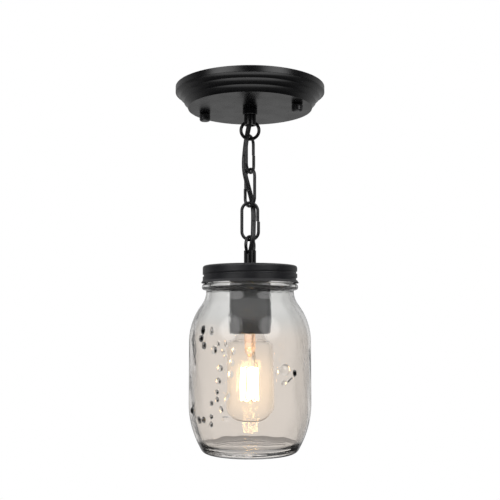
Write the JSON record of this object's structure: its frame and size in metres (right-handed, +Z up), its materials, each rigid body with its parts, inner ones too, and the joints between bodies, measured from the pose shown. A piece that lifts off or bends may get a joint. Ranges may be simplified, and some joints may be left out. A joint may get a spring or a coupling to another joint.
{
  "type": "pendant lantern",
  "caption": "Ceiling lantern: a clear glass jar with a tubular bulb inside, hung on a short wire chain with a wound cord from a round stepped canopy.",
  "frame": {"origin": "middle of the mounting bar's two box slots, on the ceiling plane", "axes": "+Z up towards the ceiling, +X along the bar through both canopy knobs, +Y completes the right-handed frame"},
  "size_m": [0.12, 0.12, 0.2889],
  "materials": {
    "plated_steel": "zinc plated, dull",
    "green_screw": "green dyed zinc",
    "black_lead": "insulated wire",
    "white_lead": "insulated wire",
    "green_lead": "insulated wire",
    "orange_plastic": "moulded",
    "black_satin_metal": "satin lacquer",
    "black_knob_metal": "satin lacquer",
    "black_chain_metal": "satin lacquer",
    "bronze_black_metal": "satin, nearly black",
    "black_nylon": "moulded",
    "black_cord": "round jacketed cord",
    "black_phenolic": "polished moulding",
    "brass_shell": "rolled sheet",
    "brass_cap": "rolled sheet",
    "brass_screw": "turned",
    "clear_gasket": "soft, translucent",
    "jar_glass": "clear pressed glass",
    "bulb_glass": "clear blown glass",
    "stem_glass": "clear drawn glass",
    "black_glass": "fired glass insulator",
    "solder": "solder",
    "nickel_wire": "drawn wire",
    "filament_wire": "drawn wire, glows when lit"
  },
  "bodies": {
    "ceiling_part": {"mounting_bar": "plated_steel", "bar_studs": "plated_steel", "stud_locknuts": "plated_steel", "ground_screw": "green_screw", "lead_live": "black_lead", "lead_neutral": "white_lead", "lead_ground": "green_lead", "wire_connectors": "orange_plastic", "canopy": "black_satin_metal", "canopy_collar": "black_satin_metal", "top_nipple": "plated_steel", "canopy_nut": "plated_steel", "canopy_lock_washer": "plated_steel", "cord_grip": "black_nylon", "top_loop": "black_satin_metal", "supply_cord": "black_cord"},
    "link_1": {"link_1": "black_chain_metal"},
    "link_2": {"link_2": "black_chain_metal"},
    "link_3": {"link_3": "black_chain_metal"},
    "lamp_head": {"bottom_loop": "black_satin_metal", "lower_nipple": "plated_steel", "screw_band": "bronze_black_metal", "lid_disc": "bronze_black_metal", "lid_washer": "plated_steel", "lid_nut": "plated_steel", "holder_cap": "black_phenolic", "holder_body": "black_phenolic", "screw_shell": "brass_shell", "contact_block": "black_phenolic", "centre_contact": "brass_shell", "terminal_screws": "brass_screw", "socket_lead_live": "black_lead", "socket_lead_neutral": "white_lead"},
    "jar_lift": {"jar_gasket": "clear_gasket"},
    "jar": {"glass_jar": "jar_glass"},
    "bulb_lift": {"foot_contact": "solder"},
    "bulb": {"bulb_cap": "brass_cap", "cap_insulator": "black_glass", "bulb_glass": "bulb_glass", "glass_stem": "stem_glass", "lead_in_wires": "nickel_wire", "filament_hooks": "nickel_wire", "filament": "filament_wire"},
    "knob_left_lift": {"washer_left": "black_satin_metal"},
    "knob_left": {"knob_left": "black_knob_metal"},
    "knob_right_lift": {"washer_right": "black_satin_metal"},
    "knob_right": {"knob_right": "black_knob_metal"}
  },
  "joints": [
    {"name": "link_1_swing", "type": "hinge", "parent": "ceiling_part", "child": "link_1", "pos_m": [0, 0, -0.04155], "axis": [0.9304, 0.3665, 0], "range_deg": [-25, 25], "deforming": ["supply_cord"]},
    {"name": "link_2_swing", "type": "hinge", "parent": "link_1", "child": "link_2", "pos_m": [0, 0, -0.0687], "axis": [0.0785, 0.9969, 0], "range_deg": [-25, 25]},
    {"name": "link_3_swing", "type": "hinge", "parent": "link_2", "child": "link_3", "pos_m": [0, 0, -0.0959], "axis": [-0.829, 0.5592, 0], "range_deg": [-25, 25]},
    {"name": "lamp_head_swing", "type": "hinge", "parent": "link_3", "child": "lamp_head", "pos_m": [0, 0, -0.1231], "axis": [-0.8949, -0.4462, 0], "range_deg": [-25, 25]},
    {"name": "jar_lift", "type": "slide", "parent": "lamp_head", "child": "jar_lift", "axis": [0, 0, -1], "range_m": [0, 0.0061]},
    {"name": "jar_turn", "type": "hinge", "parent": "jar_lift", "child": "jar", "pos_m": [0, 0, 0], "axis": [0, 0, -1], "range_deg": [0, 432]},
    {"name": "bulb_lift", "type": "slide", "parent": "lamp_head", "child": "bulb_lift", "axis": [0, 0, -1], "range_m": [0, 0.01452]},
    {"name": "bulb_turn", "type": "hinge", "parent": "bulb_lift", "child": "bulb", "pos_m": [0, 0, 0], "axis": [0, 0, -1], "range_deg": [0, 1440]},
    {"name": "knob_left_lift", "type": "slide", "parent": "ceiling_part", "child": "knob_left_lift", "axis": [0, 0, -1], "range_m": [0, 0.0035]},
    {"name": "knob_left_turn", "type": "hinge", "parent": "knob_left_lift", "child": "knob_left", "pos_m": [-0.04, 0, 0], "axis": [0, 0, -1], "range_deg": [0, 1800]},
    {"name": "knob_right_lift", "type": "slide", "parent": "ceiling_part", "child": "knob_right_lift", "axis": [0, 0, -1], "range_m": [0, 0.0035]},
    {"name": "knob_right_turn", "type": "hinge", "parent": "knob_right_lift", "child": "knob_right", "pos_m": [0.04, 0, 0], "axis": [0, 0, -1], "range_deg": [0, 1800]}
  ],
  "couplings": [
    {"joint": "jar_turn", "follows": "jar_lift", "rad_per_m": 1236.8},
    {"joint": "bulb_turn", "follows": "bulb_lift", "rad_per_m": 1730.9},
    {"joint": "knob_left_turn", "follows": "knob_left_lift", "rad_per_m": 8976},
    {"joint": "knob_right_turn", "follows": "knob_right_lift", "rad_per_m": 8976}
  ]
}
